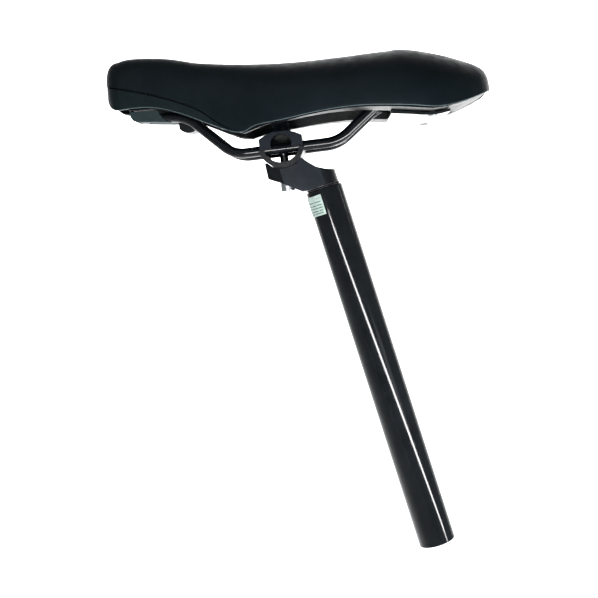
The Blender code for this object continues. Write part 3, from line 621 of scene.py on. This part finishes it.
def upper_clamp():
    low = -RAIL_DROP + GAP
    outline = [(-CLAMP_HALF_LENGTH, low), (CLAMP_HALF_LENGTH, low), (CLAMP_HALF_LENGTH, CLAMP_SHOULDER),
               (0.0100, 0.0072), (0.0050, CLAMP_CROWN), (-0.0050, CLAMP_CROWN), (-0.0100, 0.0072),
               (-CLAMP_HALF_LENGTH, CLAMP_SHOULDER)]
    item = finish('top_clamp', prism(outline, -CLAMP_HALF_WIDTH, CLAMP_HALF_WIDTH), TILT, FORGING, CLAMP,
                  ('upper_clamp',), bevel=UPPER_CLAMP_BEVEL)
    subtract(item, [round_tool(BOLT_HOLE, *UPPER_HOLE_HEIGHTS)] + groove_tools(), TILT)
    arches = []
    for side in (1, -1):
        near, far = sorted((side * ARCH_INNER_Y, side * ARCH_OUTER_Y))
        arches.append(prism(arc(ARCH_CENTRE, ARCH_RADIUS, 0, 354, 59), near, far))
    subtract(item, arches, TILT)
    # Painted shade in the arches, grooves and underside.
    paint_clamp_shade(item)


def paint_clamp_shade(item):
    """Every face of the upper clamp but its ends and its crown gets the darker material, as painted shade
    in its arches, grooves and underside.
    """
    item.data.materials.append(DARK_AND_SHADE)
    inverse = TILT.inverted()
    for polygon in item.data.polygons:
        centre = inverse @ polygon.center
        if abs(centre.y) < CLAMP_HALF_WIDTH - SHADE_INSET and centre.z < SHADE_BELOW:
            polygon.material_index = 1


def bolt():
    low, high = BOLT_HEAD_HEIGHTS
    socket = 0.0026
    socket_floor = low + 0.0030
    edge_round = 0.0008
    profile = [(0, socket_floor), (socket, socket_floor), (socket, low + 0.0003), (socket + 0.0003, low)]
    profile += arc((BOLT_HEAD_RADIUS - edge_round, low + edge_round), edge_round, -90, 0, 6)
    profile += [(BOLT_HEAD_RADIUS, high), (BOLT_RADIUS, high), (BOLT_RADIUS, BOLT_TOP), (0, BOLT_TOP)]
    finish('bolt', turned(profile, 72), TILT, STEEL, CLAMP, ('clamp_bolt',))


def nut():
    low, high = NUT_HEIGHTS
    bore = BOLT_RADIUS + GAP
    ceiling = BOLT_TOP + GAP
    flange = NUT_FLANGE_RADIUS - 0.0004
    profile = [(bore, low), (flange, low), (NUT_FLANGE_RADIUS, low + 0.0004),
               (NUT_FLANGE_RADIUS, low + 0.0012), (flange, low + 0.0016), (NUT_RADIUS, low + 0.0026)]
    profile += [(NUT_RADIUS * math.cos(a), high - NUT_DOME + NUT_DOME * math.sin(a))
                for a in [math.radians(90 * step / 14) for step in range(14)]]
    profile += [(0, high), (0, ceiling), (bore, ceiling)]
    finish('nut', turned(profile, 72), TILT, NUT, CLAMP, ('clamp_nut',))


def washer():
    radius = WASHER_SEAT + GAP
    floor = BOLT_HEAD_HEIGHTS[1] + GAP
    half_angle = math.degrees(math.asin(WASHER_HALF_LENGTH / radius))
    outline = arc((0, 0), radius, -90 - half_angle, -90 + half_angle, 24)
    outline += [(WASHER_HALF_LENGTH, floor), (-WASHER_HALF_LENGTH, floor)]
    item = finish('half_round_washer', prism(outline, -WASHER_HALF_WIDTH, WASHER_HALF_WIDTH), TILT, STEEL,
                  CLAMP, ('rocker_washer',), bevel=WASHER_BEVEL)
    subtract(item, [round_tool(BOLT_RADIUS + GAP, *WASHER_HOLE_HEIGHTS)], TILT)


# --- saddle cover ----------------------------------------------------------------------------------
# Lengths over which width and height round off at the nose and the tail, and the power of each round.
NOSE_WIDTH_ROUND, NOSE_WIDTH_POWER = 0.0150, 2.2
TAIL_WIDTH_ROUND, TAIL_WIDTH_POWER = 0.0070, 2.4
NOSE_HEIGHT_ROUND, NOSE_HEIGHT_POWER = 0.0110, 2.4
TAIL_HEIGHT_ROUND, TAIL_HEIGHT_POWER = 0.0022, 2.2
NOSE_LEVEL = 0.0590
TAIL_LEVEL = 0.0262
LEAST_HALF_WIDTH = 0.0002

CROWN_POWER, CROWN_ROOT = 2.7, 2.4
CHANNEL_DEPTH = 0.045
CHANNEL_WIDTH = 0.16
CHANNEL_START = -0.11
CHANNEL_RUN = 0.05

NOSE_STATION = NOSE_X + 0.0002
TAIL_STATION = TAIL_X - 0.0001
BAND_END_STATION = SEAM_END - 0.0004
CORD_STATIONS = (NOSE_X + 0.0004, SEAM_END - 0.0045)
HEM_LENGTH, HEM_SHARE = 0.0060, 0.6
EDGE_ROLL, EDGE_ROLL_SHARE = 0.0010, 0.2
ROLL_STEPS = 6
SEAM_LEAST_RISE = 0.0010
SEAM_HALF_GAP = 0.00050
TUCK_DEPTHS = (0.0005, 0.0012, 0.0030)
TUCK_SHARE = 0.4
TUCK_DROP = 0.0001
TOP_STEPS = 46
BAND_STEPS = 12
TOP_ROW = 60
CORD_RADIUS = 0.00085
CORD_DEPTH = 0.0015
CORD_TIP_LENGTH = 0.008
CORD_TIP_SHIFT = 0.0010
WELT_RADIUS = 0.00030
WELT_INSET = 0.0003
WELT_DROP = 0.00025
COVER_SHARP_ANGLE = 60
ROD_SHARP_ANGLE = 80


def round_end(t, power):
    """Rises from 0 to 1 over the first unit of t, in a round of the given power."""
    t = min(1.0, max(0.0, t))
    return (1 - (1 - t)**power) ** (1 / power)


def half_width(x):
    width = curve_value(HALF_WIDTH, max(x, NOSE_X + NOSE_WIDTH_ROUND))
    width *= (round_end((x - NOSE_X) / NOSE_WIDTH_ROUND, NOSE_WIDTH_POWER)
              * round_end((TAIL_X - x) / TAIL_WIDTH_ROUND, TAIL_WIDTH_POWER))
    return max(width, LEAST_HALF_WIDTH)


def levelled(curve, x):
    """Value of a height curve that closes on one level in the last millimetres of nose and tail."""
    height = curve_value(curve, max(x, NOSE_X + NOSE_HEIGHT_ROUND))
    blend = min(round_end((x - NOSE_X) / NOSE_HEIGHT_ROUND, NOSE_HEIGHT_POWER),
                round_end((TAIL_X - x) / TAIL_HEIGHT_ROUND, TAIL_HEIGHT_POWER))
    level = NOSE_LEVEL if x < 0 else TAIL_LEVEL
    return level + (height - level) * blend


def top_height(x):
    return levelled(TOP_HEIGHT, x)


def edge_height(x):
    return levelled(EDGE_HEIGHT, x)


def seam_height(x):
    return max(curve_value(SEAM_HEIGHT, x), edge_height(x))


def crown(x, share):
    """Share of the cover's height at a share of its half width: a round back with a shallow channel."""
    side = abs(share)
    shoulder = (1 - side**CROWN_POWER) ** (1 / CROWN_ROOT)
    along = min(1.0, max(0.0, (x - CHANNEL_START) / CHANNEL_RUN))
    return shoulder * (1 - CHANNEL_DEPTH * math.exp(-(side / CHANNEL_WIDTH)**2) * along)


def section_point(x, share):
    """Point of the cover at x and a share of the half width, in the saddle's frame."""
    edge = edge_height(x)
    return Vector((x, half_width(x) * share, edge + (top_height(x) - edge) * crown(x, share)))


def share_at_height(x, height):
    """The share of the half width at which the side of the section has a height."""
    low, high = 0.0, 1.0
    for _ in range(30):
        middle = (low + high) / 2
        if section_point(x, middle).z > height:
            low = middle
        else:
            high = middle
    return low


def stations(low, high, count):
    """Values from low to high that lie closer together at both ends."""
    return [low + (high - low) * (1 - math.cos(math.pi * step / count)) / 2 for step in range(count + 1)]


def side_profile(x, share_low, share_high, steps):
    """Points up the side, evenly spread in angle, between two shares of the half width."""
    first = math.acos(min(1.0, share_low))
    last = math.acos(min(1.0, share_high))
    return [section_point(x, math.cos(first + (last - first) * step / steps)) for step in range(steps + 1)]


def rolled(point, width):
    """Points of an edge that turns under, from the inner end of its hem to just short of the point."""
    radius = min(EDGE_ROLL, width * EDGE_ROLL_SHARE) / 2
    points = []
    for step in range(1, ROLL_STEPS + 1):
        angle = math.pi * step / ROLL_STEPS
        points.append(point + INWARD * radius * (1 - math.cos(angle)) + DOWN * radius * math.sin(angle))
    points.append(points[-1] + INWARD * min(HEM_LENGTH, width * HEM_SHARE))
    return points[::-1]


def tucked(point, width, rise):
    """Points of an edge that goes straight into the open seam, from near the surface inward."""
    shallow, middle, deep = TUCK_DEPTHS
    return [point + INWARD * shallow + Vector((0, 0, rise)), point + INWARD * middle + Vector((0, 0, rise)),
            point + INWARD * min(deep, width * TUCK_SHARE)]


def across_line(x, part):
    """Points over the left half of a piece of the cover at x, from its lowest edge upward."""
    width = half_width(x)
    open_seam = x < SEAM_END and seam_height(x) > edge_height(x) + SEAM_LEAST_RISE
    offset = SEAM_HALF_GAP if part == 'top' else -SEAM_HALF_GAP
    seam = share_at_height(x, seam_height(x) + offset) if open_seam else 1.0
    if part == 'band':
        side = side_profile(x, 1.0, seam, BAND_STEPS)
        return rolled(side[0], width) + side + tucked(side[-1], width, TUCK_DROP)
    side = side_profile(x, seam, 0.0, TOP_STEPS)
    if seam < 1.0:
        return tucked(side[0], width, -TUCK_DROP)[::-1] + side
    return rolled(side[0], width) + side


def other_side(points):
    return [Vector((p.x, -p.y, p.z)) for p in points]


def grid_mesh(rows):
    bm = bmesh.new()
    loops = [[bm.verts.new(point) for point in row] for row in rows]
    for first, second in zip(loops, loops[1:]):
        for index in range(len(first) - 1):
            bm.faces.new((first[index], first[index + 1], second[index + 1], second[index]))
    return bm


def welded_grid(rows):
    bm = grid_mesh(rows)
    bmesh.ops.remove_doubles(bm, verts=bm.verts, dist=WELD_DISTANCE)
    return bm


def cover_top():
    """The top panel, in lines from left to right that are filled up to the same number of points."""
    rows = []
    for x in stations(NOSE_STATION, TAIL_STATION, 200):
        left = across_line(x, 'top')
        left = [left[0]] * (TOP_ROW - len(left)) + left
        rows.append(left + other_side(reversed(left))[1:])
    item = finish('cover_skin', welded_grid(rows), DATUM, LEATHER, SADDLE,
                  ('cover_top', 'foam_pad'), sharp=COVER_SHARP_ANGLE)


def cover_band():
    """The side panel under the seam runs round the nose in one piece."""
    xs = stations(NOSE_STATION, BAND_END_STATION, 110)
    rows = [across_line(x, 'band') for x in reversed(xs)]
    rows += [other_side(across_line(x, 'band')) for x in xs]
    finish('cover_band', welded_grid(rows), DATUM, BAND_LEATHER, SADDLE, ('cover_side_band',),
           sharp=COVER_SHARP_ANGLE)


def seam_shadow_cord():
    """Near-black cord sunk in the open seam, round the nose from one side to the other, as painted shade
    that keeps the seam a dark line.
    """
    left = []
    for x in stations(*CORD_STATIONS, 120):
        point = section_point(x, share_at_height(x, seam_height(x)))
        shift = -CORD_TIP_SHIFT if x < NOSE_X + CORD_TIP_LENGTH else 0.0
        left.append(point - Vector((shift, CORD_DEPTH, 0.0)))
    path = other_side(reversed(left)) + left
    finish('seam_shadow_cord', swept(path, CORD_RADIUS, 10), DATUM, SEAM, SADDLE, sharp=ROD_SHARP_ANGLE)


def painted_highlight_welt():
    """A fine welt round the lower edge of the cover, in a colour much lighter than the leather: a painted
    highlight along the edge.
    """
    left = []
    for x in stations(NOSE_STATION, TAIL_STATION, 150):
        left.append(Vector((x, half_width(x) - WELT_INSET, edge_height(x) - WELT_DROP)))
    path = left + other_side(reversed(left))
    finish('painted_highlight_welt', swept(path, WELT_RADIUS, 8), DATUM, HIGHLIGHT_WELT, SADDLE, sharp=ROD_SHARP_ANGLE)


# --- saddle hardware -------------------------------------------------------------------------------
HOUSING_HALF_WIDTH = 0.0130
PANEL_DEPTH = 0.0011
PANEL_THICKNESS = 0.0003
PANEL_BEVEL = 0.0001
PANEL_OUTLINE = [(-0.0858, 0.0398), (-0.0846, 0.0352), (-0.0817, 0.0318), (-0.0722, 0.0306),
                 (-0.0722, 0.0376)]
RIM_CORNERS = [(-0.0862, 0.0396), (-0.0848, 0.0352), (-0.0817, 0.0315), (-0.0724, 0.0301)]
RIM_RADIUS = 0.00035
RIM_INSET = 0.0002
RIM_BEND = 0.0014


def rails():
    for name, side in (('left', 1), ('right', -1)):
        path = rounded_path([(x, side * y, z) for x, y, z in RAIL_CORNERS])
        finish(f'rail_rod_{name}', swept(path, RAIL_RADIUS, 48), DATUM, BLACK, SADDLE,
               (f'rail_{name}',))


def housing():
    """A sunk dark panel and a raised rim on each side of the grey housing under the nose."""
    wall = HOUSING_HALF_WIDTH - PANEL_DEPTH
    for index, side in enumerate((1, -1)):
        panel = loft([[(x, side * (wall + lift), z) for x, z in PANEL_OUTLINE]
                      for lift in (0.0, PANEL_THICKNESS)])
        finish(f'housing_panel_{index + 1}', panel, DATUM, DARK_AND_SHADE, SADDLE, bevel=PANEL_BEVEL)
    for index, side in enumerate((1, -1)):
        corners = [(x, side * (HOUSING_HALF_WIDTH - RIM_INSET), z) for x, z in RIM_CORNERS]
        rim = swept(rounded_path(corners, RIM_BEND, 6), RIM_RADIUS, 10)
        finish(f'housing_rim_{index + 1}', rim, DATUM, GREY, SADDLE)


# --- stage, light and camera -----------------------------------------------------------------------
FLOOR_HEIGHT = -1.10
FLOOR_FRONT = -3.0
FLOOR_HALF_WIDTH = 4.0
FLOOR_BEND = 1.2
FLOOR_BEND_RADIUS = 0.8
WALL_TOP = 3.5

WORLD_COLOUR = (0.96, 0.98, 1.0, 1.0)
WORLD_STRENGTH = 0.28
OBJECT_CENTRE = (-0.07, 0.0, 0.20)
TUBE_CENTRE = (-0.045, 0.0, 0.12)
# Lamps that are aimed: name, place, target, size and power.
LAMPS = [('key', (-0.9, -1.1, 1.3), OBJECT_CENTRE, 0.9, 2.4),
         ('fill', (1.1, -1.2, 0.1), OBJECT_CENTRE, 0.5, 1.0),
         ('backdrop_left', (-0.9, 0.45, 1.1), (-0.9, 2.0, 0.2), 1.0, 80.0),
         ('backdrop_right', (0.9, 0.45, 1.1), (0.9, 2.0, 0.2), 1.0, 80.0)]
STRIP_ENDS = ((-0.164, -0.280, 0.229), (0.311, -0.128, -0.036))
STRIP_WIDTH = 0.028
STRIP_POWER = 2.3

CAMERA_PLACE = (-0.0727, -0.7802, 0.2439)
CAMERA_AZIMUTH = math.radians(2.2)
CAMERA_ELEVATION = math.radians(4.7)
CAMERA_LENS = 64.4
CAMERA_SENSOR = 36.0
CAMERA_CLIP = (0.01, 50.0)


def backdrop():
    """Pale floor that sweeps up behind the object."""
    profile = [(FLOOR_FRONT, FLOOR_HEIGHT), (FLOOR_BEND, FLOOR_HEIGHT)]
    for step in range(1, 25):
        angle = math.radians(90 * step / 24)
        profile.append((FLOOR_BEND + FLOOR_BEND_RADIUS * math.sin(angle),
                        FLOOR_HEIGHT + FLOOR_BEND_RADIUS * (1 - math.cos(angle))))
    profile.append((FLOOR_BEND + FLOOR_BEND_RADIUS, WALL_TOP))
    bm = grid_mesh([[Vector((x, y, z)) for y, z in profile] for x in (-FLOOR_HALF_WIDTH, FLOOR_HALF_WIDTH)])
    mesh = bpy.data.meshes.new('floor')
    bm.to_mesh(mesh)
    bm.free()
    mesh.shade_smooth()
    mesh.materials.append(material('pale_floor', 0.9, ((0.93, 0.93, 0.93), (0.95, 0.95, 0.95)), (1.5,),
                                   specular=0.0))
    item = add_object('floor', mesh)


def lamp(name, length, width, power):
    """Rectangular lamp that the camera doesn't see."""
    data = bpy.data.lights.new(name, 'AREA')
    data.shape = 'RECTANGLE'
    data.size = length
    data.size_y = width
    data.energy = power
    item = add_object(name, data)
    item.visible_camera = False
    return item


def strip_lamp(name, ends, width, power):
    """Long thin lamp between two points, turned to the post."""
    first, last = (Vector(end) for end in ends)
    along = (last - first).normalized()
    centre = (first + last) / 2
    away = (centre - Vector(TUBE_CENTRE)).normalized()
    away = (away - along * away.dot(along)).normalized()
    across = along.cross(away)
    item = lamp(name, (last - first).length, width, power)
    item.matrix_world = Matrix.Translation(centre) @ Matrix((
        (along.x, -across.x, away.x, 0.0), (along.y, -across.y, away.y, 0.0),
        (along.z, -across.z, away.z, 0.0), (0.0, 0.0, 0.0, 1.0)))


def light():
    world = bpy.data.worlds.new('studio')
    bpy.context.scene.world = world
    world.use_nodes = True
    background = world.node_tree.nodes['Background']
    background.inputs['Color'].default_value = WORLD_COLOUR
    background.inputs['Strength'].default_value = WORLD_STRENGTH
    bpy.context.scene.view_settings.view_transform = 'Standard'
    for name, place, target, size, power in LAMPS:
        item = lamp(name, size, size, power)
        item.location = place
        item.rotation_euler = (Vector(place) - Vector(target)).to_track_quat('Z', 'Y').to_euler()
    strip_lamp('tube_line', STRIP_ENDS, STRIP_WIDTH, STRIP_POWER)


def camera():
    data = bpy.data.cameras.new('camera')
    data.sensor_width = CAMERA_SENSOR
    data.lens = CAMERA_LENS
    data.clip_start, data.clip_end = CAMERA_CLIP
    back = Vector((math.sin(CAMERA_AZIMUTH) * math.cos(CAMERA_ELEVATION),
                   -math.cos(CAMERA_AZIMUTH) * math.cos(CAMERA_ELEVATION), math.sin(CAMERA_ELEVATION)))
    item = add_object('camera', data)
    item.location = CAMERA_PLACE
    item.rotation_euler = back.to_track_quat('Z', 'Y').to_euler()
    bpy.context.scene.camera = item


seat_tube()
label()
head()
lower_cradle()
upper_clamp()
bolt()
nut()
washer()
cover_top()
cover_band()
painted_highlight_welt()
seam_shadow_cord()
rails()
housing()
dress_nodes()
backdrop()
light()
camera()
